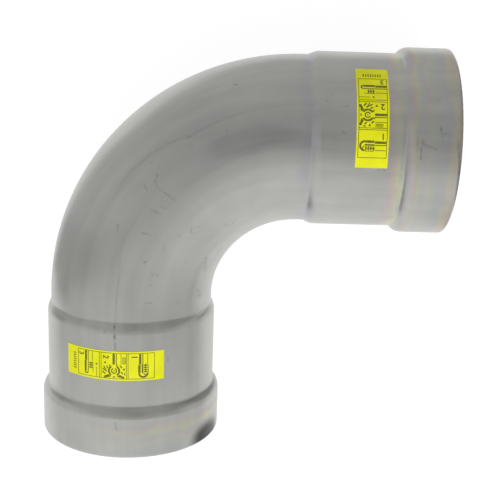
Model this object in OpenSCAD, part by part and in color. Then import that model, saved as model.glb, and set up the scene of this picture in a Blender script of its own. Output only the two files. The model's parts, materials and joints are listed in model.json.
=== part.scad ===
// Press elbow: a quarter bend of plated steel tube with a press socket at each end.
// It lies flat, with the bend in the XY plane. One socket opens to the front (-Y), the other to the
// right (+X). The origin is on the resting plane, under the middle of the elbow. Millimetres.

/* [Pipe] */
// Outside diameter of the pipe, and of the bent tube
pipe_diameter = 114.3; // [100:0.1:140]
// Play between the pipe and its socket, across the diameter
pipe_play = 0.9; // [0.6:0.1:2]

/* [Elbow] */
// Wall thickness
wall = 2; // [1.5:0.1:2.4]
// Bend radius along the centre line
bend_radius = 115.5; // [95:0.5:180]
// Straight tube between the bend and the pipe stop
tangent_length = 3.6; // [2:0.1:25]

/* [Socket] */
// Straight seat for the pipe, between the stop and the bead
socket_length = 51.7; // [40:0.1:90]
// Slope of the pipe stop against the axis
stop_angle = 26; // [20:1:32]
// Outside radius in the hollow of the stop
stop_hollow = 3; // [1:0.1:6]
// Outside radius on the crest of the stop
stop_crest = 12; // [6:0.5:18]

/* [Bead] */
// Height of the bead over the socket
bead_height = 4.2; // [4:0.1:6]
// Length of the bead, from the top of its ramp to the mouth
bead_length = 29; // [25:0.1:40]
// Slope of the ramp against the axis
ramp_angle = 46; // [38:1:54]
// Outside radius in the hollow of the ramp
ramp_hollow = 2.5; // [1:0.1:5]
// Outside radius on the crest of the ramp
ramp_crest = 7.5; // [4:0.1:10]
// Outside radius of the rolled rim
rim_radius = 2.6; // [2.5:0.1:4]
// Play between the pipe and the rolled lip, on each side
lip_play = 0.9; // [0.6:0.1:1.5]

/* [Rings] */
// Play around the rings in the bead
ring_play = 0.05; // [0.02:0.01:0.15]
// Length of the sealing ring
seal_length = 10.6; // [8:0.1:12]
// Depth of the groove between the seal's two lips
seal_groove = 0.7; // [0.3:0.1:1.2]
// Thickness of the separator ring
separator_thickness = 1.6; // [1:0.1:2.5]
// Rows of teeth in the grip ring
tooth_rows = 5; // [3:1:7]
// Depth of a tooth
tooth_depth = 1.4; // [0.8:0.1:1.8]
// Room that the grip ring's bevel leaves to the rim
bevel_room = 0.4; // [0.2:0.1:1]
// Width of the split in the grip ring
split_width = 7; // [3:0.5:15]
// Relief slots around the grip ring
slot_count = 11; // [5:1:17]
// Width of a relief slot
slot_width = 1.8; // [1:0.1:3]

/* [Labels] */
// Width of a label along the socket
label_width = 21; // [12:0.5:30]
// Length of a label around the socket
label_length = 70.5; // [40:0.5:110]
// Thickness of a label
label_film = 0.15; // [0.1:0.01:0.3]
// Glue line under a label
label_glue = 0.05; // [0.02:0.01:0.1]
// Place of the front label along its socket, from stop to bead
front_label_place = 0.38; // [0:0.01:1]
// Middle of the front label around its socket, from the bend's inside
front_label_angle = 97.5; // [40:0.5:140]
// Place of the right label along its socket, from stop to bead
right_label_place = 0.67; // [0:0.01:1]
// Middle of the right label around its socket, from the bend's outside
right_label_angle = 64.5; // [40:0.5:140]

/* [Hidden] */
$fn = 96;

// How far a cut runs past a face
past = 1;
// How far a flank is set into its arcs, so that they cross and don't only touch
bite = 0.0005;

// Outside radii of the tube, socket and bead
tube_radius = pipe_diameter / 2;
socket_radius = tube_radius + pipe_play / 2 + wall;
bead_radius = socket_radius + bead_height;
// Clear radii of the socket, the lip and the rings
bore_radius = socket_radius - wall;
lip_radius = tube_radius + lip_play;
ring_bore = bore_radius + ring_play;
ring_radius = bead_radius - wall - ring_play;
ring_depth = ring_radius - ring_bore;

// A shoulder is a hollow arc, a straight flank and a crest arc
function flank(rise, slope, hollow, crest) =
    (rise - (hollow + crest) * (1 - cos(slope))) / sin(slope);
function shoulder_length(rise, slope, hollow, crest) =
    (hollow + crest) * sin(slope) + flank(rise, slope, hollow, crest) * cos(slope);

// Stations along a leg, from the end of the bend
stop_start = tangent_length;
seat_start = stop_start
    + shoulder_length(socket_radius - tube_radius, stop_angle, stop_hollow, stop_crest);
ramp_start = seat_start + socket_length;
bead_start = ramp_start + shoulder_length(bead_height, ramp_angle, ramp_hollow, ramp_crest);
// Leg length, to the nearest tenth
leg_length = round(10 * (bead_start + bead_length)) / 10;

// The seal's end is a half round that leans on the inside of the ramp, or stops under the crest
seal_round = ring_depth / 2;
ramp_top_radius = bead_radius - ramp_crest + (ramp_crest - wall) * cos(ramp_angle);
ramp_top = bead_start - (ramp_crest - wall) * sin(ramp_angle);
seal_middle_radius = ring_bore + seal_round;
seal_lean = (ramp_top_radius - seal_middle_radius) * cos(ramp_angle);
seal_on_ramp = ramp_top + (seal_round + ring_play - seal_lean) / sin(ramp_angle);
seal_centre = max(seal_on_ramp, bead_start);
seal_start = seal_centre - seal_round;
separator_start = seal_start + seal_length + ring_play;
grip_start = separator_start + separator_thickness + ring_play;
grip_length = leg_length - wall - ring_play - grip_start;

// Bevel that clears the round inside the rim
grip_bevel = rim_radius - wall + bevel_room;
// Teeth fill the grip ring's inside, with a plain land at both ends
tooth_land = grip_length * 0.1;
tooth_pitch = (grip_length - 2 * tooth_land) / tooth_rows;
// Slots reach three quarters of the way along the grip ring, from the mouth
slot_length = grip_length * 0.75;

// Place of the bend's centre, with the elbow's box over the origin
bend_x = (bend_radius + bead_radius - leg_length) / 2;
bend_y = -bend_x;
axis_height = bead_radius;

// Puts a leg's shape, drawn along +Z, on the front or the right leg
module on_front() {
    translate([bend_x - bend_radius, bend_y, axis_height])
        rotate([90, 0, 0])
            children();
}

module on_right() {
    translate([bend_x, bend_y + bend_radius, axis_height])
        rotate([90, 0, 90])
            children();
}

// Corners of a shoulder's flank, each set a little into the arc that it runs into
function hollow_corner(radius, start, slope, hollow) = [
    radius + hollow - (hollow - bite) * cos(slope),
    start + (hollow - bite) * sin(slope),
];
function crest_corner(radius, end, slope, crest) = [
    radius - crest + (crest - bite) * cos(slope),
    end - (crest - bite) * sin(slope),
];

// Half section of a leg, filled to its axis, and drawn smaller by inset on every side
module leg_section(inset) {
    tube = tube_radius - inset;
    socket = socket_radius - inset;
    bead = bead_radius - inset;
    stop_in = stop_hollow + inset;
    stop_out = stop_crest - inset;
    ramp_in = ramp_hollow + inset;
    ramp_out = ramp_crest - inset;
    rim_out = rim_radius - inset;
    rim = leg_length - rim_radius;
    difference() {
        union() {
            polygon([
                [0, 0],
                [tube, 0],
                [tube, stop_start],
                hollow_corner(tube, stop_start, stop_angle, stop_in),
                crest_corner(socket, seat_start, stop_angle, stop_out),
                [socket, seat_start],
                [socket, ramp_start],
                hollow_corner(socket, ramp_start, ramp_angle, ramp_in),
                crest_corner(bead, bead_start, ramp_angle, ramp_out),
                [bead, bead_start],
                [bead, rim],
                [bead - rim_out, leg_length - inset],
                [0, leg_length - inset],
            ]);
            translate([socket - stop_out, seat_start]) circle(stop_out);
            translate([bead - ramp_out, bead_start]) circle(ramp_out);
            translate([bead - rim_out, rim]) circle(rim_out);
        }
        translate([tube + stop_in, stop_start]) circle(stop_in);
        translate([socket + ramp_in, ramp_start]) circle(ramp_in);
    }
}

// Wall of one leg, with the mouth open inside the rolled lip
module leg_wall() {
    rotate_extrude()
        difference() {
            leg_section(0);
            leg_section(wall);
            translate([0, leg_length - wall - past]) square([lip_radius, wall + 2 * past]);
        }
}

module bend_wall() {
    translate([bend_x, bend_y, axis_height])
        rotate_extrude(angle = 90, start = 90)
            translate([bend_radius, 0])
                difference() {
                    circle(tube_radius);
                    circle(tube_radius - wall);
                }
}

module elbow_body() {
    color("#9fa2a0") {
        bend_wall();
        on_front() leg_wall();
        on_right() leg_wall();
    }
}

// Rubber ring with rounded ends and two sealing lips
module seal_ring() {
    straight = seal_length - 2 * seal_round;
    groove_radius = straight / 2;
    color("#d8c62c")
        rotate_extrude()
            translate([seal_middle_radius, seal_centre])
                difference() {
                    union() {
                        circle(seal_round);
                        translate([0, straight]) circle(seal_round);
                        translate([-seal_round, 0]) square([ring_depth, straight]);
                    }
                    translate([seal_groove - seal_round - groove_radius, straight / 2])
                        circle(groove_radius);
                }
}

// Flat ring that keeps the teeth off the rubber
module separator_ring() {
    color("#b9bcbd")
        translate([0, 0, separator_start])
            rotate_extrude()
                translate([ring_bore, 0]) square([ring_depth, separator_thickness]);
}

// Half section of the grip ring: its teeth lean inwards, against a pipe that is pulled out
module grip_section() {
    difference() {
        translate([ring_bore, 0])
            polygon([
                [0, 0],
                [ring_depth, 0],
                [ring_depth, grip_length - grip_bevel],
                [ring_depth - grip_bevel, grip_length],
                [0, grip_length],
            ]);
        for (row = [0 : tooth_rows - 1])
            translate([ring_bore, tooth_land + row * tooth_pitch])
                polygon([
                    [-past, 0],
                    [0, 0],
                    [tooth_depth, 0],
                    [0, tooth_pitch * 0.85],
                    [-past, tooth_pitch * 0.85],
                ]);
    }
}

// Split ring with rows of teeth, cut into fingers by slots from the mouth
module grip_ring() {
    finger_turn = 360 / (slot_count + 1);
    color("#c4c6c6")
        translate([0, 0, grip_start])
            difference() {
                rotate_extrude() grip_section();
                translate([0, -split_width / 2, -past])
                    cube([bead_radius, split_width, grip_length + 2 * past]);
                for (slot = [1 : slot_count])
                    rotate([0, 0, slot * finger_turn])
                        translate([0, -slot_width / 2, grip_length - slot_length])
                            cube([bead_radius, slot_width, slot_length + past]);
            }
}

// Yellow film label, wrapped on the socket
module label(place, angle) {
    span = label_length / socket_radius * 180 / PI;
    start = seat_start + place * (socket_length - label_width);
    color("#e3e62a")
        rotate_extrude(angle = span, start = angle - span / 2)
            translate([socket_radius + label_glue, start]) square([label_film, label_width]);
}

module front_seal_ring() { on_front() seal_ring(); }
module front_separator_ring() { on_front() separator_ring(); }
module front_grip_ring() { on_front() grip_ring(); }
module front_label() { on_front() label(front_label_place, front_label_angle); }
module right_seal_ring() { on_right() seal_ring(); }
module right_separator_ring() { on_right() separator_ring(); }
module right_grip_ring() { on_right() grip_ring(); }
module right_label() { on_right() label(right_label_place, right_label_angle); }

elbow_body();
front_seal_ring();
front_separator_ring();
front_grip_ring();
front_label();
right_seal_ring();
right_separator_ring();
right_grip_ring();
right_label();
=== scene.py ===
"""Large press elbow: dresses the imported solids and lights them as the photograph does.

The elbow lies flat. Its plated steel carries drawing marks, a weld line, scuffs and a faint rainbow film, and a
printed yellow label is wrapped on each socket.
"""

from __future__ import annotations

import json
import logging
import math
from dataclasses import dataclass, field
from enum import Enum
from functools import partial
from typing import Any, Sequence

import bmesh
import bpy
from mathutils import Matrix, Vector

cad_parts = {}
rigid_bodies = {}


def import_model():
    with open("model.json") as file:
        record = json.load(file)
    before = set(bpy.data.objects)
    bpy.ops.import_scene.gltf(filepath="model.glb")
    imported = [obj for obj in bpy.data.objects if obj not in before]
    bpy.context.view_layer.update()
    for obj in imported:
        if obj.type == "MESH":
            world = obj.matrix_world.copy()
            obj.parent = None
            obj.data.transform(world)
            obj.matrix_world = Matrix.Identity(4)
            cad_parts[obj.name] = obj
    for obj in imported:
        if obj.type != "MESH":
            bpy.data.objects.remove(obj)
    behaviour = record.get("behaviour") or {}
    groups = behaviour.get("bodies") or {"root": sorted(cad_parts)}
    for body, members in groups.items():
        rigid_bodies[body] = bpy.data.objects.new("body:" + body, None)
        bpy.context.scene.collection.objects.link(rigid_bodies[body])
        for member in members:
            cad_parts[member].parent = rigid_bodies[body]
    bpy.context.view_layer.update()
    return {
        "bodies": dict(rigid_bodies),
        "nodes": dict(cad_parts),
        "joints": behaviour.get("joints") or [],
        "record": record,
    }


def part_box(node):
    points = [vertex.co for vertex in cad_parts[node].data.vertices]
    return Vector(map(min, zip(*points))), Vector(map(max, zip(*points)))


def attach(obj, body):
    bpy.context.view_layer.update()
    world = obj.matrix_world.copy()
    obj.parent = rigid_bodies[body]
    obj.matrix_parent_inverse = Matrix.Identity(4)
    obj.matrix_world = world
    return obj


LOG = logging.getLogger("press_elbow")
MM = 0.001
BODY = "root"

Socket = bpy.types.NodeSocket
Tree = bpy.types.NodeTree
Material = bpy.types.Material
Pair = tuple[float, float]
Point = tuple[float, float, float]
# Places on a noise or a length with the colour of each, and a shader's inputs with the value of each
Tones = tuple[tuple[float, str], ...]
Looks = tuple[tuple[str, float], ...]


def linear(code: str) -> tuple[float, float, float, float]:
    """Turn an sRGB hex colour into the linear colour that shaders take.

    Args:
        code: A hash sign and six hex digits.

    Returns:
        Red, green, blue and an alpha of one.
    """
    parts = [int(code[i : i + 2], 16) / 255 for i in (1, 3, 5)]
    red, green, blue = (c / 12.92 if c <= 0.04045 else ((c + 0.055) / 1.055) ** 2.4 for c in parts)
    return red, green, blue, 1.0


def per_metre(size: float) -> float:
    """Give the pattern scale at which one feature is this many millimetres wide."""
    return 1.0 / (size * MM)


def add_node(
    tree: Tree,
    kind: str,
    links: dict[str | int, Any] | None = None,
    output: str | int = 0,
    stops: Sequence[tuple[float, str]] = (),
    **settings: Any,
) -> Socket:
    """Add one shader node with its settings, values and links.

    Args:
        tree: The node tree to add to.
        kind: The node's type, without the word ShaderNode in front.
        links: What each input takes: a socket to link from, or a plain value.
        output: The output to hand back.
        stops: Places and hex colours, for a colour ramp.
        **settings: Properties to set on the node.

    Returns:
        The chosen output.
    """
    node = tree.nodes.new(f"ShaderNode{kind}")
    for name, value in settings.items():
        setattr(node, name, value)
    if stops:
        elements = node.color_ramp.elements
        while len(elements) < len(stops):
            elements.new(1.0)
        for element, (place, code) in zip(elements, stops):
            element.position = place
            element.color = linear(code)
    for key, value in (links or {}).items():
        if isinstance(value, Socket):
            tree.links.new(value, node.inputs[key])
        else:
            node.inputs[key].default_value = value
    return node.outputs[output]


def new_material(name: str) -> tuple[Material, Tree]:
    """Make a material with an empty node tree.

    Args:
        name: The material's name.

    Returns:
        The material and its tree.
    """
    material = bpy.data.materials.new(name)
    material.use_nodes = True
    material.node_tree.nodes.clear()
    return material, material.node_tree


def finish_surface(tree: Tree, shader: Socket) -> None:
    """Link a shader to a new material output."""
    output = tree.nodes.new("ShaderNodeOutputMaterial")
    tree.links.new(shader, output.inputs["Surface"])


def dress(piece: bpy.types.Object, material: Material) -> None:
    """Give a piece one material."""
    piece.data.materials.clear()
    piece.data.materials.append(material)


def new_piece(name: str, mesh: bmesh.types.BMesh, material: Material) -> bpy.types.Object:
    """Make a piece from a finished mesh, which is freed.

    Args:
        name: The piece's name.
        mesh: Its mesh.
        material: Its material.

    Returns:
        The piece.
    """
    data = bpy.data.meshes.new(name)
    mesh.to_mesh(data)
    mesh.free()
    piece = bpy.data.objects.new(name, data)
    bpy.context.scene.collection.objects.link(piece)
    dress(piece, material)
    return piece


class Side(Enum):
    """The elbow's two sockets."""

    FRONT = "front"
    RIGHT = "right"


@dataclass(frozen=True)
class ElbowLayout:
    """Where the elbow's centre line runs, in metres."""

    centre: Vector
    bore_radius: float
    bend_radius: float = 115.5 * MM
    wall: float = 2 * MM

    @classmethod
    def from_frame(cls, frame: dict[str, Any]) -> ElbowLayout:
        """Read the layout from the two socket mounts.


        Returns:
            The layout.
        """
        mounts = {mount["name"]: mount for mount in frame["record"]["mounts"]}
        front = Vector(mounts["front_socket"]["pos_m"])
        right = Vector(mounts["right_socket"]["pos_m"])
        centre = Vector((front.x + cls.bend_radius, right.y - cls.bend_radius, front.z))
        return cls(centre, mounts["front_socket"]["dims"]["r_mm"] * MM)

    @property
    def socket_radius(self) -> float:
        """Outside radius of a socket."""
        return self.bore_radius + self.wall

    def leg_frame(self, side: Side) -> Matrix:
        """Give the frame of a leg, at the end of the bend.

        Args:
            side: Which leg.

        Returns:
            A matrix whose Z runs along the leg to its mouth, and whose Y points up.
        """
        if side is Side.FRONT:
            axes = (Vector((1, 0, 0)), Vector((0, 0, 1)), Vector((0, -1, 0)))
            start = self.centre - Vector((self.bend_radius, 0, 0))
        else:
            axes = (Vector((0, 1, 0)), Vector((0, 0, 1)), Vector((1, 0, 0)))
            start = self.centre + Vector((0, self.bend_radius, 0))
        turn = Matrix(axes).transposed().to_4x4()
        return Matrix.Translation(start) @ turn


@dataclass(frozen=True)
class TubeSpace:
    """Shader outputs that follow the tube round its bend, in metres and radians."""

    vector: Socket
    along: Socket
    reach: Socket
    turn: Socket


def tube_space(tree: Tree, layout: ElbowLayout) -> TubeSpace:
    """Unroll the elbow, so that a pattern can run along the bent tube.

    Args:
        tree: The material's node tree.
        layout: Where the centre line runs.

    Returns:
        A vector of the section's two axes and the distance along; the distance along, from the front end of
        the bend; the distance past the bend on either leg; and the angle round the section, from the
        outside of the bend.
    """
    add = partial(add_node, tree)
    place = add("TexCoord", output="Object")
    moved = add("VectorMath", {0: place, 1: -layout.centre}, operation="ADD")
    x, y, z = (add("SeparateXYZ", {0: moved}, output=axis) for axis in "XYZ")
    left = add("Math", {0: x, 1: 0.0}, operation="MINIMUM")
    back = add("Math", {0: y, 1: 0.0}, operation="MAXIMUM")
    spoke = add("CombineXYZ", {0: left, 1: back})
    radius = add("VectorMath", {0: spoke}, output="Value", operation="LENGTH")
    outward = add("Math", {0: radius, 1: layout.bend_radius}, operation="SUBTRACT")
    inside = add("Math", {0: left, 1: -1.0}, operation="MULTIPLY")
    swing = add("Math", {0: back, 1: inside}, operation="ARCTAN2")
    right_run = add("Math", {0: x, 1: 0.0}, operation="MAXIMUM")
    front_run = add("Math", {0: y, 1: 0.0}, operation="MINIMUM")
    runs = add("Math", {0: right_run, 1: front_run}, operation="ADD")
    along = add("Math", {0: swing, 1: layout.bend_radius, 2: runs}, operation="MULTIPLY_ADD")
    ahead = add("Math", {0: y, 1: -1.0}, operation="MULTIPLY")
    reach = add("Math", {0: x, 1: ahead}, operation="MAXIMUM")
    turn = add("Math", {0: z, 1: outward}, operation="ARCTAN2")
    vector = add("CombineXYZ", {0: outward, 1: z, 2: along})
    return TubeSpace(vector, along, reach, turn)


@dataclass(frozen=True)
class Scar:
    """A scratch: start and end, in millimetres along and degrees round; width in millimetres; darkness."""

    along: float
    turn: float
    end_along: float
    end_turn: float
    width: float
    dark: float

    @classmethod
    def pit(cls, along: float, turn: float, dark: float = 0.4) -> Scar:
        """Make a short scratch that reads as a pit."""
        return cls(along, turn, end_along=along + 1.2, end_turn=turn + 0.8, width=1.1, dark=dark)

    def ends(self, radius: float) -> tuple[Vector, Vector]:
        """Find both ends on a tube of this radius, unrolled."""
        places = ((self.along, self.turn), (self.end_along, self.end_turn))
        return tuple(Vector((along * MM, math.radians(turn) * radius, 0)) for along, turn in places)


@dataclass(frozen=True)
class ScuffLayer:
    """Scattered marks: spacing and size in millimetres, stretch, turn in degrees, share kept, darkness."""

    spacing: float
    size: float
    stretch: float
    turn: float
    kept: float
    dark: float


@dataclass(frozen=True)
class SoftPatch:
    """A soft patch: its middle and half its size, in millimetres along and degrees round; its cover and colour.

    Noise makes its edge ragged, and it fades from solid to gone between two shares of its size.
    """

    along: float
    turn: float
    along_half: float
    turn_half: float
    cover: float
    colour: str
    ragged: float = 0.3
    solid: float = 0.55
    gone: float = 1.15


@dataclass(frozen=True)
class PassiveFilm:
    """The thin clear film on the plating, whose colour changes with its thickness along each leg.

    Lengths are in millimetres. Noise in coarse and fine patches makes the bands of colour wander.
    """

    start: float = -5.0
    end: float = 105.0
    wander: float = 14.0
    patch: float = 26.0
    fine_wander: float = 6.0
    fine_patch: float = 8.0
    # The front leg's rings lie further out than the right leg's; the shift fades along the bend
    front_shift: float = 9.0
    front_fade: float = 100.0
    # Where it is worn: the patches' size, the noise over which they fade, and how much film is left
    worn_patch: float = 20.8
    worn_noise: Pair = (0.4, 0.6)
    worn_left: float = 0.35
    # On the front leg it shows only past the ramp, and mostly on the inner side, which is given in degrees
    bead: Pair = (68.0, 78.0)
    inner: Pair = (75.0, 105.0)
    inner_left: float = 0.15
    # A film brightens some colours and dims others: the bands are times this gain, so that "#eaeaea" is neutral
    gain: float = 1.21
    bands: Tones = (
        (-3.0, "#eaeaea"), (1.0, "#e2e6ec"), (4.5, "#e6e2ec"), (8.0, "#eaeaea"),
        (51.0, "#eaeaea"), (55.5, "#efe6ec"), (58.5, "#fbefe0"), (61.5, "#ffffe2"),
        (64.0, "#eef4e4"), (66.0, "#e2e4ec"), (68.5, "#f0e2e6"), (70.8, "#f6ecd8"),
        (73.0, "#f4f6da"), (75.5, "#e6ecec"), (77.5, "#eee6ea"), (80.0, "#eeeee4"),
        (84.0, "#e8ece6"), (88.0, "#e2e8ea"), (91.5, "#e8e4ea"), (94.5, "#f2f0dc"),
        (97.5, "#f4e8d8"), (101.0, "#f0e4e4"),
    )


@dataclass(frozen=True)
class Finish:
    """What all finishes share: colours that noise mixes, an uneven sheen, and a fine relief in millimetres."""

    name: str = ""
    # The noise level of each colour, and the colour
    tones: Tones = ()
    roughness: float = 0.5
    roughness_swing: float = 0.1
    # The noise over which the roughness swings
    swing_noise: Pair = (0.0, 1.0)
    relief: float = 0.05
    relief_strength: float = 0.2
    # Further inputs of the shader
    looks: Looks = ()

    def coat(self, tree: Tree, colour: Socket, sheen: Socket, height: Socket | None) -> None:
        """Build the shader and link it to the material's output.

        Args:
            tree: The material's node tree.
            colour: The surface's colour.
            sheen: Noise that the roughness follows.
            height: Height of the relief, or None on a flat surface.
        """
        low, high = self.swing_noise
        least, most = self.roughness - self.roughness_swing, self.roughness + self.roughness_swing
        swing = {"Value": sheen, "From Min": low, "From Max": high, "To Min": least, "To Max": most}
        links = {"Base Color": colour, "Roughness": add_node(tree, "MapRange", swing), **dict(self.looks)}
        if height is not None:
            bump = {"Strength": self.relief_strength, "Distance": self.relief * MM, "Height": height}
            links["Normal"] = add_node(tree, "Bump", bump)
        finish_surface(tree, add_node(tree, "BsdfPrincipled", links))


@dataclass(frozen=True)
class PlatedSteel(Finish):
    """Zinc-nickel plated carbon steel, drawn and pressed."""

    # To the eye: a satin grey with faint streaks along the tube, handling marks and a trace of rainbow
    name: str = "zinc_nickel_plated_steel"
    tones: Tones = ((0.36, "#adadaa"), (0.64, "#b6b6b2"))
    roughness: float = 0.34
    roughness_swing: float = 0.03
    swing_noise: Pair = (0.3, 0.7)
    looks: Looks = (("Metallic", 1.0),)
    scratch: str = "#4a4947"
    mottle: float = 24.0
    streak: float = 7.0
    streak_stretch: float = 16.0
    streak_share: float = 0.55
    streak_relief: float = 0.25
    # Plating grain is about 0.1 mm; it is drawn coarser so that it shows
    grain: float = 0.8
    # How much of a mark's half width is fully dark
    scar_core: float = 0.2
    scuff_core: float = 0.3
    # Chips break the scars up: their size, the noise over which they fade, and how much of a scar is left
    chip: float = 3.2
    chip_noise: Pair = (0.38, 0.6)
    chip_left: float = 0.25
    film: PassiveFilm = PassiveFilm()
    soft_patches: tuple[SoftPatch, ...] = (
        # Painted shade: a long soft darker band on top of the bend
        SoftPatch(along=148, turn=78, along_half=36, turn_half=11, cover=0.2, colour="#5c5f6c"),
        # A near-black soft patch on the front bead's inner side
        SoftPatch(along=-98, turn=153, along_half=15, turn_half=21, cover=0.86, colour="#181717"),
    )
    scars: tuple[Scar, ...] = (
        # The weld line round the bend
        Scar(66, 56.4, 82, 54.3, 1.6, 0.07), Scar(82, 54.3, 106, 56.9, 1.6, 0.12),
        Scar(106, 56.9, 120, 61.1, 1.6, 0.14), Scar(120, 61.1, 145, 59.8, 1.6, 0.12),
        Scar(145, 59.8, 166, 60, 1.6, 0.08),
        # The drawing line down the front leg, with its tick on the bead
        Scar(52, 76, 29, 82.8, 1.0, 0.08), Scar(29, 82.8, 5, 84.1, 1.1, 0.17),
        Scar(5, 84.1, -6, 83.4, 0.9, 0.22), Scar(-6, 83.4, -22, 84.1, 1.3, 0.6),
        Scar(-74, 84.9, -79.5, 85.5, 1.2, 0.26),
        # A hooked scratch and ticks on the bend
        Scar(92.5, 69.3, 89, 71, 0.95, 0.3), Scar(89, 71, 87.6, 75.8, 0.95, 0.28),
        Scar(87.6, 75.8, 88.6, 82.7, 0.95, 0.32), Scar(88.6, 82.7, 89.7, 89.4, 0.95, 0.26),
        Scar(83.2, 67.4, 82.1, 71.4, 0.95, 0.28), Scar(74.8, 81, 76.1, 87, 0.95, 0.24),
        Scar(80.5, 85.1, 81.5, 89.1, 0.95, 0.24), Scar(56, 69.1, 52.5, 71.4, 1.0, 0.32),
        Scar(59.4, 85.7, 60.9, 90.9, 0.95, 0.28), Scar(83.1, 110.7, 78.6, 112.9, 1.0, 0.26),
        Scar(78.6, 112.9, 80.3, 115, 1.0, 0.26), Scar(36.5, 103.5, 34.2, 108.1, 0.95, 0.28),
        Scar(60, 102.1, 53, 105.5, 0.95, 0.2), Scar.pit(93, 59.7),
        Scar.pit(41.3, 95.9), Scar.pit(147.7, 36.3),
        # Fainter ones: darker spots on the weld line, ticks, and rough patches on the bend's inner side
        Scar(116.8, 61.1, 120.8, 61.7, 1.6, 0.2), Scar(11.4, 104.4, 11.4, 107.6, 1.0, 0.3),
        Scar(36, 103.4, 33.4, 104.4, 0.95, 0.2), Scar(85.1, 113.2, 87.1, 114.8, 0.9, 0.22),
        Scar(53.4, 122.2, 52.3, 125.8, 0.95, 0.2), Scar(103.7, 127, 107.2, 133.1, 1.2, 0.24),
        Scar(107.2, 133.1, 115.1, 130.4, 1.2, 0.24), Scar(62, 139, 46, 146.4, 2.4, 0.22),
        Scar(21.3, 145.6, 12.3, 149.7, 2.8, 0.22), Scar.pit(70.8, 107.2, 0.2),
        Scar.pit(25.2, 104.6, 0.18),
        # Scratches, a rub and a line by the rim on the right bead
        Scar(255.2, 84.5, 255.6, 90.9, 1.2, 0.4), Scar(257, 82.8, 265.5, 84.9, 1.1, 0.24),
        Scar(255.8, 80, 256.4, 81.6, 1.5, 0.3), Scar(267.4, 72.9, 268.8, 77.4, 1.2, 0.38),
        Scar(268.8, 77.4, 272, 75.5, 1.0, 0.25), Scar(261.5, 56.5, 266.5, 56.3, 2.6, 0.13),
        Scar(278.6, 79.4, 281.4, 99.7, 1.2, 0.3), Scar.pit(197.5, 51.4, 0.22),
        Scar.pit(194.2, 56.4, 0.22), Scar(204.5, 60.4, 208, 60.2, 1.1, 0.3),
        Scar.pit(205.3, 76.5, 0.25), Scar.pit(229.3, 99, 0.3),
        Scar.pit(232.5, 98.9, 0.3), Scar.pit(-11.1, 76.8, 0.3),
        Scar.pit(9.3, 126.8, 0.35), Scar(-29, 119.4, -33, 119.4, 1.0, 0.25),
        Scar.pit(-76.7, 67.4, 0.2),
    )
    scuffs: tuple[ScuffLayer, ...] = (
        ScuffLayer(spacing=13, size=0.6, stretch=1.0, turn=0, kept=0.3, dark=0.4),
        ScuffLayer(spacing=16, size=0.45, stretch=6.0, turn=35, kept=0.35, dark=0.3),
        ScuffLayer(spacing=19, size=0.5, stretch=5.0, turn=-60, kept=0.3, dark=0.3),
    )

    def material(self, layout: ElbowLayout) -> Material:
        """Build the steel.

        Args:
            layout: Where the tube's centre line runs.

        Returns:
            The material.
        """
        material, tree = new_material(self.name)
        tube = tube_space(tree, layout)
        add = partial(add_node, tree)
        mottle = add("TexNoise", {"Vector": tube.vector, "Scale": per_metre(self.mottle)})
        pull = (1, 1, 1 / self.streak_stretch)
        pulled = add("VectorMath", {0: tube.vector, 1: pull}, operation="MULTIPLY")
        streak = add("TexNoise", {"Vector": pulled, "Scale": per_metre(self.streak), "Detail": 3.0})
        tone = add("Mix", {"Factor": self.streak_share, 2: mottle, 3: streak})
        bare = add("ValToRGB", {0: tone}, stops=self.tones)
        colour = self.tint(tree, tube, bare)
        hurt = self.hurt(tree, tube, layout)
        covers = [(hurt, self.scratch)]
        # Soft patches of colour: a band of painted shade on the bend, and a near-black patch on the front bead
        covers += [(self.patch_cover(tree, tube, mottle, soft_patch), soft_patch.colour) for soft_patch in self.soft_patches]
        for share, code in covers:
            links = {"Factor": share, 6: colour, 7: linear(code)}
            colour = add("Mix", links, output=2, data_type="RGBA")
        grain = add("TexNoise", {"Vector": tube.vector, "Scale": per_metre(self.grain)})
        skin = add("Math", {0: streak, 1: self.streak_relief, 2: grain}, operation="MULTIPLY_ADD")
        height = add("Math", {0: skin, 1: hurt}, operation="SUBTRACT")
        self.coat(tree, colour, streak, height)
        return material

    def tint(self, tree: Tree, tube: TubeSpace, bare: Socket) -> Socket:
        """Tint the metal in rings where its passive film is thickest: the ramps, beads, rims and stop steps.

        Args:
            tree: The material's node tree.
            tube: The unrolled elbow.
            bare: The bare metal's colour.

        Returns:
            The tinted colour.
        """
        add = partial(add_node, tree)
        film = self.film
        drift = add("TexNoise", {"Vector": tube.vector, "Scale": per_metre(film.patch), "Detail": 3.0})
        fine = add("TexNoise", {"Vector": tube.vector, "Scale": per_metre(film.fine_patch)})
        right = add("MapRange", {"Value": tube.along, "From Max": film.front_fade * MM})
        moved = tube.reach
        for noise, reach in ((drift, film.wander), (fine, film.fine_wander), (right, film.front_shift)):
            moved = add("Math", {0: noise, 1: reach * MM, 2: moved}, operation="MULTIPLY_ADD")
        shift = (film.wander + film.fine_wander) / 2 + film.front_shift
        first, last = ((place + shift) * MM for place in (film.start, film.end))
        share = add("MapRange", {"Value": moved, "From Min": first, "From Max": last})
        stops = [((place - film.start) / (film.end - film.start), code) for place, code in film.bands]
        ring = add("ValToRGB", {0: share}, stops=stops)
        ring = add("VectorMath", {0: ring, "Scale": film.gain}, operation="SCALE")
        wear = {"Vector": tube.vector, "Scale": per_metre(film.worn_patch), "Detail": 2.0}
        limits = (
            (add("TexNoise", wear), film.worn_noise, 1.0, film.worn_left),
            (tube.turn, film.inner, math.radians(1), film.inner_left),
            (tube.reach, film.bead, MM, 0.0),
        )
        spread, inner, bead = (
            add("MapRange", {"Value": value, "From Min": low * unit, "From Max": high * unit, "To Min": left})
            for value, (low, high), unit, left in limits
        )
        shown = add("Math", {0: inner, 1: bead}, operation="MULTIPLY")
        shown = add("Math", {0: right, 1: shown}, operation="MAXIMUM")
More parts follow.
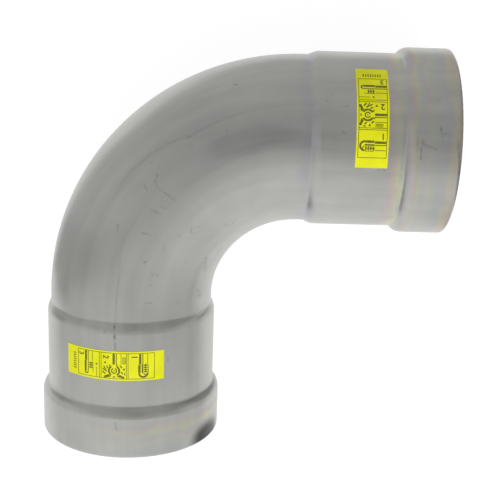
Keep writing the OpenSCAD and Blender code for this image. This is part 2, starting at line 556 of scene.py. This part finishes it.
        amount = add("Math", {0: spread, 1: shown}, operation="MULTIPLY")
        links = {"Factor": amount, 6: bare, 7: ring}
        return add("Mix", links, output=2, data_type="RGBA", blend_type="MULTIPLY")

    def hurt(self, tree: Tree, tube: TubeSpace, layout: ElbowLayout) -> Socket:
        """Draw the weld line, the drawing line, the scratches, the pits and the scattered scuffs.

        Args:
            tree: The material's node tree.
            tube: The unrolled elbow.
            layout: Where the tube's centre line runs.

        Returns:
            How dark each mark is, from 0 to 1.
        """
        add = partial(add_node, tree)
        radius = layout.socket_radius
        arc = add("Math", {0: tube.turn, 1: radius}, operation="MULTIPLY")
        flat = add("CombineXYZ", {0: tube.along, 1: arc, 2: 0.0})
        total: Socket | float = 0.0
        for scar in self.scars:
            start, end = scar.ends(radius)
            run = end - start
            offset = add("VectorMath", {0: flat, 1: start}, operation="SUBTRACT")
            slope = {0: offset, 1: run / run.length_squared}
            share = add("VectorMath", slope, output="Value", operation="DOT_PRODUCT")
            share = add("Clamp", {"Value": share})
            nearest = add("VectorMath", {0: run, "Scale": share}, operation="SCALE")
            gap = add("VectorMath", {0: offset, 1: nearest}, output="Value", operation="DISTANCE")
            edge = scar.width * MM
            fade = {"From Min": self.scar_core * edge, "From Max": edge, "To Min": scar.dark, "To Max": 0.0}
            line = add("MapRange", {"Value": gap, **fade})
            total = add("Math", {0: line, 1: total}, operation="MAXIMUM")
        chips = add("TexNoise", {"Vector": tube.vector, "Scale": per_metre(self.chip), "Detail": 2.0})
        low, high = self.chip_noise
        uneven = add("MapRange", {"Value": chips, "From Min": low, "From Max": high, "To Min": self.chip_left})
        total = add("Math", {0: total, 1: uneven}, operation="MULTIPLY")
        for layer in self.scuffs:
            turn = math.radians(layer.turn)
            spun = {"Vector": tube.vector, "Rotation": (turn, turn, 0), "Scale": (1, 1, 1 / layer.stretch)}
            turned = add("Mapping", spun, vector_type="POINT")
            cells = {"Vector": turned, "Scale": per_metre(layer.spacing)}
            near = add("TexVoronoi", cells, output="Distance")
            draw = add("TexVoronoi", cells, output="Color")
            kept = add("Math", {0: draw, 1: layer.kept}, operation="LESS_THAN")
            edge = layer.size / layer.spacing
            fade = {"From Min": self.scuff_core * edge, "From Max": edge, "To Min": layer.dark, "To Max": 0.0}
            spot = add("MapRange", {"Value": near, **fade})
            spot = add("Math", {0: spot, 1: kept}, operation="MULTIPLY")
            total = add("Math", {0: spot, 1: total}, operation="MAXIMUM")
        return total

    def patch_cover(self, tree: Tree, tube: TubeSpace, breakup: Socket, soft_patch: SoftPatch) -> Socket:
        """Lay one soft patch of colour, such as a band of painted shade.

        Args:
            tree: The material's node tree.
            tube: The unrolled elbow.
            breakup: Noise that makes the edge uneven.
            soft_patch: The patch.

        Returns:
            How much the patch's colour covers the steel, from 0 to 1.
        """
        add = partial(add_node, tree)
        sides = (
            (tube.turn, math.radians(soft_patch.turn), math.radians(soft_patch.turn + soft_patch.turn_half)),
            (tube.along, soft_patch.along * MM, (soft_patch.along + soft_patch.along_half) * MM),
        )
        turn, along = (
            add("MapRange", {"Value": value, "From Min": middle, "From Max": edge}, clamp=False)
            for value, middle, edge in sides
        )
        flat = add("CombineXYZ", {0: turn, 1: along, 2: 0.0})
        away = add("VectorMath", {0: flat}, output="Value", operation="LENGTH")
        away = add("Math", {0: breakup, 1: soft_patch.ragged, 2: away}, operation="MULTIPLY_ADD")
        span = {"From Min": soft_patch.solid, "From Max": soft_patch.gone, "To Min": soft_patch.cover, "To Max": 0.0}
        return add("MapRange", {"Value": away, **span}, interpolation_type="SMOOTHSTEP")


@dataclass(frozen=True)
class StainlessSteel(Finish):
    """Turned stainless steel."""

    # To the eye: bright and a little glossy, with fine lathe lines round each ring
    name: str = "turned_stainless_steel"
    tones: Tones = ((0.35, "#b4b6b6"), (0.65, "#cfd0cf"))
    roughness: float = 0.26
    roughness_swing: float = 0.06
    relief: float = 0.04
    relief_strength: float = 0.25
    looks: Looks = (("Metallic", 1.0),)
    # Lathe lines are about 0.15 mm apart; they are drawn coarser so that they show
    line: float = 0.6
    cloud: float = 12.0
    cloud_share: float = 0.4

    def material(self, leg: Matrix) -> Material:
        """Build the stainless steel of one socket's rings.

        Args:
            leg: The frame of the leg that the rings sit in.

        Returns:
            The material.
        """
        material, tree = new_material(self.name)
        add = partial(add_node, tree)
        place = add("TexCoord", output="Object")
        run = leg.col[2].to_3d()
        along = add("VectorMath", {0: place, 1: run}, output="Value", operation="DOT_PRODUCT")
        stack = add("CombineXYZ", {2: along})
        lines = add("TexNoise", {"Vector": stack, "Scale": per_metre(self.line), "Detail": 3.0})
        cloud = add("TexNoise", {"Vector": place, "Scale": per_metre(self.cloud)})
        tone = add("Mix", {"Factor": self.cloud_share, 2: lines, 3: cloud})
        colour = add("ValToRGB", {0: tone}, stops=self.tones)
        self.coat(tree, colour, cloud, lines)
        return material


@dataclass(frozen=True)
class PlainFinish(Finish):
    """A finish that is clouded and finely uneven: the size of both in millimetres."""

    cloud: float = 10.0
    cloud_detail: float = 3.0
    grain: float | None = None

    def material(self) -> Material:
        """Build the material.

        Returns:
            The material.
        """
        material, tree = new_material(self.name)
        add = partial(add_node, tree)
        place = add("TexCoord", output="Object")
        haze = {"Vector": place, "Scale": per_metre(self.cloud), "Detail": self.cloud_detail}
        cloud = add("TexNoise", haze)
        colour = add("ValToRGB", {0: cloud}, stops=self.tones)
        height = None
        if self.grain:
            height = add("TexNoise", {"Vector": place, "Scale": per_metre(self.grain)})
        self.coat(tree, colour, cloud, height)
        return material


@dataclass(frozen=True)
class SealRubber(PlainFinish):
    """Moulded nitrile sealing rubber, dyed yellow."""

    # To the eye: a deep matt yellow with a paler trace of talc
    name: str = "moulded_yellow_rubber"
    tones: Tones = ((0.45, "#d9b71e"), (0.75, "#e4cc63"))
    roughness: float = 0.62
    looks: Looks = (("IOR", 1.52),)
    cloud: float = 9.0
    cloud_detail: float = 5.0
    # Mould grain is about 0.2 mm; it is drawn coarser so that it shows
    grain: float | None = 0.7


@dataclass(frozen=True)
class LabelFilm(PlainFinish):
    """Self-adhesive polyethylene film, printed yellow all over."""

    # To the eye: a loud flat yellow, smooth, with a soft sheen and slight ripples
    name: str = "yellow_label_film"
    tones: Tones = ((0.35, "#e0e112"), (0.65, "#e9ea18"))
    roughness: float = 0.42
    roughness_swing: float = 0.06
    relief_strength: float = 0.1
    looks: Looks = (("Specular IOR Level", 0.15),)
    cloud: float = 11.0
    grain: float | None = 5.0


@dataclass(frozen=True)
class PrintInk(PlainFinish):
    """Black thermal transfer ink on yellow film."""

    # To the eye: a thin dark olive, since the film shows through
    name: str = "black_print_on_film"
    tones: Tones = ((0.45, "#5c5d14"), (0.7, "#88891e"))
    looks: Looks = (("Specular IOR Level", 0.3),)
    # Print speckle is about 0.2 mm; it is drawn coarser so that it shows
    cloud: float = 0.9


# The press jaw's strokes on the label: both ends, and the width
JAW_STROKES: tuple[tuple[float, float, float, float, float], ...] = (
    (3.8, 11.6, 2.0, 15.4, 1.6), (3.8, 5.2, 2.0, 1.6, 1.6), (6.0, 13.6, 10.2, 15.6, 0.9),
    (4.4, 14.4, 6.2, 16.4, 0.9), (8.6, 12.9, 10.6, 13.4, 0.8), (9.4, 2.9, 10.9, 4.4, 0.9),
    (5.0, 2.4, 6.4, 3.6, 0.9), (2.4, 12.4, 3.4, 10.6, 0.7), (2.4, 4.4, 3.4, 6.2, 0.7),
    (10.4, 10.6, 11.2, 11.9, 0.8), (10.6, 6.9, 11.6, 5.9, 0.8), (7.0, 15.0, 8.4, 16.4, 0.7),
    (4.0, 1.0, 5.8, 1.2, 0.7),
)


@dataclass
class LabelArtwork:
    """The label's generic three-step print, drawn flat in millimetres.

    X runs across the label and Y from its plain end to its other end.
    """

    width: float
    length: float
    thickness: float = 0.13
    line: float = 0.4
    mid_line: float = 0.6
    wide_line: float = 1.6
    wrap_step: float = 1.2
    # An arc's degrees to a step, and its least steps
    arc_step: float = 15.0
    least_steps: int = 3
    # The frame: its sides as shares of the width, its ends, its gap to the drawings, and the double lines
    sides: Pair = (0.075, 0.93)
    low: float = 6.6
    high: float = 61.4
    frame_gap: float = 0.1
    dividers: tuple[float, ...] = (24.6, 25.7, 43.2, 44.5)
    press_bottom: float = 26.0
    done_bottom: float = 44.8
    # A tube's inner line, as a share of its height, and the blocks of a row
    inner_line: float = 0.52
    tooth_pitch: float = 1.6
    tooth_width: float = 0.9
    # A numeral's type size for its height, and how much its strokes are swollen
    type_size: float = 1.4
    type_weight: float = 0.12
    mesh: bmesh.types.BMesh = field(default_factory=bmesh.new)

    def draw(self) -> bmesh.types.BMesh:
        """Draw all of the print and give it thickness.

        Returns:
            The flat print, from just under the film's face to just over it.
        """
        self.frame_lines()
        self.step_insert(bottom=self.low)
        self.step_press(bottom=self.press_bottom)
        self.step_done(bottom=self.done_bottom)
        self.end_strokes()
        self.cut_for_wrapping()
        self.thicken()
        return self.mesh

    def bar(self, left: float, bottom: float, right: float, top: float) -> None:
        """Draw a filled bar.

        Args:
            left: Its left edge.
            bottom: Its lower edge.
            right: Its right edge.
            top: Its upper edge.
        """
        size = Matrix.Diagonal(((right - left) / 2, (top - bottom) / 2, 1, 1))
        place = Matrix.Translation(((left + right) / 2, (bottom + top) / 2, 0))
        bmesh.ops.create_grid(self.mesh, x_segments=1, y_segments=1, size=1, matrix=place @ size)

    def stroke(self, start: Pair, end: Pair, width: float) -> None:
        """Draw a straight slanting line.

        Args:
            start: Where it starts.
            end: Where it ends.
            width: Its width.
        """
        run = Vector(end) - Vector(start)
        middle = (Vector(end) + Vector(start)) / 2
        turn = Matrix.Rotation(math.atan2(run.y, run.x), 4, "Z")
        size = Matrix.Diagonal((run.length / 2, width / 2, 1, 1))
        place = Matrix.Translation((*middle, 0)) @ turn @ size
        bmesh.ops.create_grid(self.mesh, x_segments=1, y_segments=1, size=1, matrix=place)

    def arc(self, middle: Pair, radius: float, width: float, start: float, sweep: float) -> None:
        """Draw part of a ring.

        Args:
            middle: The ring's centre.
            radius: Its middle radius.
            width: Its width.
            start: The angle that it starts at, in degrees.
            sweep: How far it goes round, in degrees.
        """
        centre = Vector((*middle, 0))
        way = Vector((math.cos(math.radians(start)), math.sin(math.radians(start)), 0))
        ends = [self.mesh.verts.new(centre + way * (radius + off)) for off in (-width / 2, width / 2)]
        edge = self.mesh.edges.new(ends)
        bmesh.ops.spin(
            self.mesh,
            geom=[*ends, edge],
            cent=centre,
            axis=(0, 0, 1),
            angle=math.radians(sweep),
            steps=max(self.least_steps, int(abs(sweep) / self.arc_step)),
        )

    def arrow(self, middle: Pair, size: float, turn: float) -> None:
        """Draw a small solid triangle that points along the turn, in degrees."""
        place = Matrix.Translation((*middle, 0)) @ Matrix.Rotation(math.radians(turn - 90), 4, "Z")
        bmesh.ops.create_circle(self.mesh, cap_ends=True, segments=3, radius=size, matrix=place)

    def numeral(self, figure: str, middle: Pair, height: float) -> None:
        """Draw a step's number, upside down to the label's X and Y.

        Args:
            figure: The number.
            middle: Its centre.
            height: Its height.
        """
        curve = bpy.data.curves.new("numeral", "FONT")
        curve.body = figure
        curve.align_x = "CENTER"
        curve.align_y = "CENTER"
        curve.size = self.type_size * height
        curve.offset = self.type_weight
        maker = bpy.data.objects.new("numeral", curve)
        bpy.context.scene.collection.objects.link(maker)
        flat = bpy.data.meshes.new_from_object(maker.evaluated_get(bpy.context.evaluated_depsgraph_get()))
        flat.transform(Matrix.Translation((*middle, 0)) @ Matrix.Rotation(math.pi, 4, "Z"))
        self.mesh.from_mesh(flat)
        bpy.data.objects.remove(maker)
        bpy.data.curves.remove(curve)
        bpy.data.meshes.remove(flat)

    @property
    def left(self) -> float:
        """Left edge of the frame."""
        return self.sides[0] * self.width

    @property
    def right(self) -> float:
        """Right edge of the frame."""
        return self.sides[1] * self.width

    def frame_lines(self) -> None:
        """Draw the frame and the double lines between the three steps."""
        self.bar(self.left - self.line, self.low, self.left, self.high)
        self.bar(self.right, self.low, self.right + self.line, self.high)
        for level in (self.low, *self.dividers, self.high - self.line):
            self.bar(self.left, level, self.right, level + self.line)

    def walls(self, left: float, right: float, bottom: float, height: float) -> None:
        """Draw a tube in section: a thick wall on top, its inner line, and a thin wall.

        Args:
            left: Left end.
            right: Right end.
            bottom: The thin wall's lower edge.
            height: The thick wall's upper edge over the bottom.
        """
        self.bar(left, bottom + height - self.wide_line, right, bottom + height)
        inner = bottom + self.inner_line * height
        self.bar(left, inner, right, inner + self.mid_line)
        self.bar(left, bottom, right, bottom + self.line)

    def teeth(self, left: float, bottom: float, top: float, count: int) -> None:
        """Draw a row of small upright blocks."""
        for start in (left + self.tooth_pitch * column for column in range(count)):
            self.bar(start, bottom, start + self.tooth_width, top)

    def step_insert(self, bottom: float) -> None:
        """Draw step one: a pipe goes into the socket."""
        self.walls(11.8, self.right - self.frame_gap, bottom + 4.8, 6.1)
        self.walls(5.7, 11.6, bottom + 4.3, 7.1)
        self.arc((5.5, bottom + 7.85), 2.9, 1.3, 90, 180)
        self.arc((5.5, bottom + 6.3), 1.3, 0.6, 90, 180)
        self.teeth(5.9, bottom + 5.0, bottom + 7.7, 4)
        self.bar(5.9, bottom + 6.1, 12.3, bottom + 6.7)
        self.bar(5.4, bottom + 8.3, 11.8, bottom + 9.0)
        self.numeral("1", (17.2, bottom + 14.1), 4.0)

    def step_press(self, bottom: float) -> None:
        """Draw step two: a press jaw closes round the socket."""
        self.walls(11.6, self.right - self.frame_gap, bottom + 3.4, 6.0)
        middle = (7.0, bottom + 8.4)
        for start in (30, 215):
            self.arc(middle, 3.6, 1.3, start, 115)
        self.arc(middle, 1.7, 0.8, 20, 320)
        for left, low, right, high, width in JAW_STROKES:
            self.stroke((left, bottom + low), (right, bottom + high), width)
        self.bar(6.6, bottom + 8.0, 7.4, bottom + 8.8)
        self.bar(2.2, bottom + 7.6, 3.0, bottom + 9.2)
        for row in (0.5, 1.35, 2.2):
            self.bar(12.0, bottom + row, 17.2, bottom + row + 0.45)
        self.arrow((12.7, bottom + 14.6), 1.1, turn=225)
        self.arrow((8.3, bottom + 1.6), 1.1, turn=90)
        self.numeral("2", (16.7, bottom + 14.2), 4.0)

    def step_done(self, bottom: float) -> None:
        """Draw step three: the pressed joint."""
        self.walls(12.4, self.right - self.frame_gap, bottom + 4.8, 6.1)
        self.walls(4.6, 12.2, bottom + 4.5, 6.7)
        self.arc((4.4, bottom + 9.6), 1.2, 0.9, 90, 180)
        self.teeth(7.2, bottom + 5.0, bottom + 7.6, 3)
        self.bar(7.2, bottom + 6.0, 11.6, bottom + 6.5)
        self.bar(self.left + self.frame_gap, bottom + 1.7, 8.8, bottom + 1.7 + self.line)
        self.arrow((10.9, bottom + 2.0), 1.0, turn=180)
        self.numeral("3", (16.7, bottom + 13.9), 3.6)

    def end_strokes(self) -> None:
        """Draw a row of plain strokes past the frame's far end."""
        first, pitch, width, low, high = 4.6, 1.56, 0.72, 63.0, 65.5
        for start in (first + pitch * stroke for stroke in range(8)):
            self.bar(start, low, start + width, high)

    def cut_for_wrapping(self) -> None:
        """Cut the print across in even steps, so that it can follow the socket's round."""
        level = self.wrap_step
        while level < self.length:
            everything = [*self.mesh.verts, *self.mesh.edges, *self.mesh.faces]
            bmesh.ops.bisect_plane(self.mesh, geom=everything, plane_co=(0, level, 0), plane_no=(0, 1, 0))
            level += self.wrap_step

    def thicken(self) -> None:
        """Make the flat print a closed skin."""
        grown = bmesh.ops.extrude_face_region(self.mesh, geom=self.mesh.faces[:], use_keep_orig=True)
        raised = [part for part in grown["geom"] if isinstance(part, bmesh.types.BMVert)]
        bmesh.ops.translate(self.mesh, vec=(0, 0, self.thickness), verts=raised)


@dataclass
class PrintedLabel:
    """A yellow label wrapped on one socket: the film is a solid of its own, and the print lies on it."""

    side: Side
    layout: ElbowLayout
    frame: dict[str, Any]
    film_over_socket: float = 0.2 * MM
    ink_over_film: float = 0.03 * MM

    @property
    def node(self) -> str:
        """Name of the film's solid."""
        return f"{self.side.value}_label"

    def spans(self) -> tuple[float, float, float, float]:
        """Measure the film from its box.

        Returns:
            The lowest and highest angle round the socket, and the nearest and farthest distance along the leg.
        """
        low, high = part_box(self.node)
        leg = self.layout.leg_frame(self.side).inverted()
        corners = [leg @ low, leg @ high]
        across = sorted(corner.x for corner in corners)
        along = sorted(corner.z for corner in corners)
        radius = self.layout.socket_radius + self.film_over_socket
        return math.acos(across[1] / radius), math.acos(across[0] / radius), along[0], along[1]

    def build(self, ink: Material, film: Material) -> bpy.types.Object:
        """Dress the film and wrap the print on it.

        Args:
            ink: The print's material.
            film: The film's material.

        Returns:
            The print.
        """
        dress(self.frame["nodes"][self.node], film)
        first, last, near, far = self.spans()
        radius = self.layout.socket_radius + self.film_over_socket
        art = LabelArtwork(width=(far - near) / MM, length=(last - first) * radius / MM)
        mesh = art.draw()
        leg = self.layout.leg_frame(self.side)
        sunk = self.ink_over_film - art.thickness * MM
        for vert in mesh.verts:
            across, up, over = vert.co * MM
            if self.side is Side.FRONT:
                angle, reach = first + up / radius, far - across
            else:
                angle, reach = last - up / radius, near + across
            spoke = radius + sunk + over
            vert.co = leg @ Vector((spoke * math.cos(angle), spoke * math.sin(angle), reach))
        bmesh.ops.recalc_face_normals(mesh, faces=mesh.faces[:])
        piece = new_piece(f"{self.side.value}_label_print", mesh, ink)
        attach(piece, BODY)
        return piece


@dataclass
class RingStack:
    """The loose rings in one bead: seal, separator and grip ring."""

    side: Side
    layout: ElbowLayout
    frame: dict[str, Any]

    def build(self, rubber: Material) -> None:
        """Dress the three rings.

        Args:
            rubber: The seal's material.
        """
        nodes = self.frame["nodes"]
        leg = self.layout.leg_frame(self.side)
        steel = StainlessSteel(name=f"turned_stainless_steel_{self.side.value}").material(leg)
        dress(nodes[f"{self.side.value}_seal_ring"], rubber)
        dress(nodes[f"{self.side.value}_separator_ring"], steel)
        dress(nodes[f"{self.side.value}_grip_ring"], steel)


@dataclass(frozen=True)
class Card:
    """A flat card beside the elbow that only its shine sees: middle, half its size (one is 0) and level.

    A one-sided card is clear from behind.
    """

    name: str
    middle: Point
    half: Point
    level: float
    one_sided: bool = False

    def place(self) -> Matrix:
        """Find where a sheet of two by two metres goes.

        Returns:
            Its place and size.
        """
        first, second = (
            Vector([half if side == axis else 0 for side in range(3)])
            for axis, half in enumerate(self.half)
            if half
        )
        turn = Matrix((first, second, first.cross(second).normalized())).transposed()
        return Matrix.Translation(self.middle) @ turn.to_4x4()


@dataclass
class Studio:
    """A white floor under a soft light tent, as a parts catalogue is shot."""

    floor_half: float = 30.0
    floor_colour: str = "#f2f2f2"
    # How much of the floor's white shines by itself, and how much comes from the light and so keeps the shadow
    floor_glow: float = 0.9
    floor_lit: float = 0.2
    # The tent: its level overhead, and its lift towards the front and the left
    tent_top: float = 0.54
    tent_front: float = 0.5
    tent_left: float = 0.16
    # The softbox: its sides and place in metres, and its power in watts
    lamp_sides: Pair = (1.4, 1.0)
    lamp_place: Point = (0.1, -0.7, 1.3)
    lamp_power: float = 9.5
    # Cards round the elbow, as a photographer sets them round a shiny product
    cards: tuple[Card, ...] = (
        Card("rear_low_card", (0, 0.19, 0.055), (0.6, 0, 0.055), 0.64),
        Card("rear_mid_card", (0, 0.19, 0.155), (0.6, 0, 0.045), 0.58),
        Card("rear_high_card", (0, 0.19, 0.3), (0.6, 0, 0.1), 0.52),
        Card("left_near_card", (-0.19, -0.01, 0.2), (0, 0.03, 0.2), 0.56),
        Card("left_foot_card", (-0.24, -0.015, 0.05), (0, 0.055, 0.05), 0.42),
        Card("left_mid_card", (-0.19, 0.0475, 0.2), (0, 0.0275, 0.2), 0.68),
        Card("left_low_card", (-0.19, 0.3375, 0.075), (0, 0.2625, 0.075), 0.67),
        Card("left_high_card", (-0.19, 0.3375, 0.275), (0, 0.2625, 0.125), 0.61),
        Card("side_near_panel", (-0.33, -0.125, 0.36), (0, 0.065, 0.36), 0.76),
        Card("side_far_panel", (-0.33, -0.325, 0.36), (0, 0.135, 0.36), 0.92),
        Card("front_low_panel", (-0.15, -0.28, 0.275), (0.18, 0, 0.275), 1.04),
        Card("front_high_panel", (-0.15, -0.28, 0.635), (0.18, 0, 0.085), 0.93),
        Card("corner_low_panel", (0.2, -0.28, 0.375), (0.17, 0, 0.125), 0.98),
        Card("corner_high_panel", (0.2, -0.28, 0.61), (0.17, 0, 0.11), 0.8),
        Card("right_front_card", (0.19, -0.25, 0.16), (0, 0.05, 0.16), 0.96),
        Card("right_card", (0.19, -0.115, 0.1), (0, 0.085, 0.1), 0.72),
        Card("right_rear_card", (0.2, 0.15, 0.17), (0, 0.15, 0.17), 0.42),
        Card("overhead_card", (0.03, 0.22, 0.6), (0.06, 0.16, 0), 0.26),
        Card("ramp_far_shade", (0.045, -0.085, 0.045), (0.05, 0, 0.045), 0.38, one_sided=True),
        Card("ramp_near_shade", (0.025, -0.097, 0.035), (0.035, 0, 0.035), 0.38, one_sided=True),
        Card("stop_far_shade", (0.06, -0.043, 0.045), (0.07, 0, 0.045), 0.28, one_sided=True),
        Card("stop_near_shade", (0.025, -0.0475, 0.035), (0.035, 0, 0.035), 0.28, one_sided=True),
    )

    def build(self) -> None:
        """Make the floor, the tent, the cards and the lamp."""
        self.floor()
        self.tent()
        for card in self.cards:
            self.stand(card)
        self.lamp()

    def sheet(self, name: str, place: Matrix, material: Material) -> bpy.types.Object:
        """Make a flat sheet of the set.

        Args:
            name: Its name.
            place: Where a sheet of two by two metres goes, with its size.
            material: Its material.

        Returns:
            The sheet.
        """
        mesh = bmesh.new()
        bmesh.ops.create_grid(mesh, x_segments=1, y_segments=1, size=1, matrix=place)
        sheet = new_piece(name, mesh, material)
        return sheet

    def floor(self) -> None:
        """Make a floor that looks white to the camera and in the steel, and keeps a soft shadow."""
        material, tree = new_material("white_studio_floor")
        add = partial(add_node, tree)
        seen = [
            add("LightPath", output=ray)
            for ray in ("Is Camera Ray", "Is Glossy Ray", "Is Transmission Ray")
        ]
        direct = add("Math", {0: seen[0], 1: seen[1]}, operation="MAXIMUM")
        direct = add("Math", {0: direct, 1: seen[2]}, operation="MAXIMUM")
        paper = add("BsdfDiffuse", {"Color": linear(self.floor_colour)})
        glow = add("Emission", {"Color": (1, 1, 1, 1), "Strength": self.floor_glow})
        dark = add("Emission", {"Strength": 0.0})
        share = add("MixShader", {0: self.floor_lit, 1: dark, 2: paper})
        white = add("AddShader", {0: glow, 1: share})
        finish_surface(tree, add("MixShader", {0: direct, 1: paper, 2: white}))
        self.sheet("studio_floor", Matrix.Diagonal((self.floor_half, self.floor_half, 1, 1)), material)

    def tent(self) -> None:
        """Light the world as a white tent: dimmest overhead, where the camera hangs, and brightest in front."""
        world = bpy.data.worlds.new("light_tent")
        bpy.context.scene.world = world
        world.use_nodes = True
        tree = world.node_tree
        tree.nodes.clear()
        add = partial(add_node, tree)
        way = add("TexCoord", output="Generated")
        level: Socket | float = self.tent_top
        for side, lift in (((0, -1, 0), self.tent_front), ((-1, 0, 0), self.tent_left)):
            facing = add("VectorMath", {0: way, 1: side}, output="Value", operation="DOT_PRODUCT")
            share = add("Clamp", {"Value": facing})
            level = add("Math", {0: share, 1: lift, 2: level}, operation="MULTIPLY_ADD")
        shine = add("Background", {"Color": (1, 1, 1, 1), "Strength": level})
        output = tree.nodes.new("ShaderNodeOutputWorld")
        tree.links.new(shine, output.inputs["Surface"])

    def stand(self, card: Card) -> None:
        """Stand one card in the set.

        Args:
            card: The card.
        """
        material, tree = new_material(f"{card.name}_paper")
        paper = add_node(tree, "Emission", {"Color": (1, 1, 1, 1), "Strength": card.level})
        if card.one_sided:
            behind = add_node(tree, "NewGeometry", output="Backfacing")
            paper = add_node(tree, "MixShader", {0: behind, 1: paper, 2: add_node(tree, "BsdfTransparent")})
        finish_surface(tree, paper)
        sheet = self.sheet(card.name, card.place(), material)
        sheet.visible_camera = False
        sheet.visible_diffuse = False
        sheet.visible_transmission = False
        sheet.visible_shadow = False

    def lamp(self) -> None:
        """Hang a wide soft lamp over the front, which lights matt surfaces and leaves no glare on steel."""
        light = bpy.data.lights.new("front_softbox", "AREA")
        light.shape = "RECTANGLE"
        light.size, light.size_y = self.lamp_sides
        light.energy = self.lamp_power
        lamp = bpy.data.objects.new("front_softbox", light)
        lamp.location = self.lamp_place
        lamp.rotation_euler = (-lamp.location).to_track_quat("-Z", "Y").to_euler()
        lamp.visible_glossy = False
        bpy.context.scene.collection.objects.link(lamp)


@dataclass(frozen=True)
class PhotoCamera:
    """The photograph's camera: place in millimetres, turns in degrees, and lens on a 36 mm sensor."""

    place: Point = (-14.62, 198.19, 791.98)
    turn: Point = (-15.6622, -1.7049, 1.4979)
    lens: float = 76.087
    sensor: float = 36.0

    def build(self) -> None:
        """Make the camera and set it as the scene's."""
        data = bpy.data.cameras.new("photo_camera")
        data.lens = self.lens
        data.sensor_width = self.sensor
        camera = bpy.data.objects.new("photo_camera", data)
        camera.location = Vector(self.place) * MM
        camera.rotation_mode = "ZYX"
        camera.rotation_euler = [math.radians(angle) for angle in self.turn]
        bpy.context.scene.collection.objects.link(camera)
        bpy.context.scene.camera = camera


def main() -> None:
    """Dress the elbow, then light it and set the camera."""
    logging.basicConfig(level=logging.INFO, format="%(name)s: %(message)s")
    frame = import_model()
    layout = ElbowLayout.from_frame(frame)
    PhotoCamera().build()
    dress(frame["nodes"]["elbow_body"], PlatedSteel().material(layout))
    LOG.info("dressed elbow_body")
    rubber = SealRubber().material()
    film = LabelFilm().material()
    ink = PrintInk().material()
    for side in Side:
        RingStack(side, layout, frame).build(rubber)
        LOG.info("dressed the %s rings", side.value)
        piece = PrintedLabel(side, layout, frame).build(ink, film)
        LOG.info("built %s with %d faces", piece.name, len(piece.data.polygons))
    Studio().build()
    bpy.context.scene.view_settings.view_transform = "Standard"


if __name__ == "__main__":
    main()
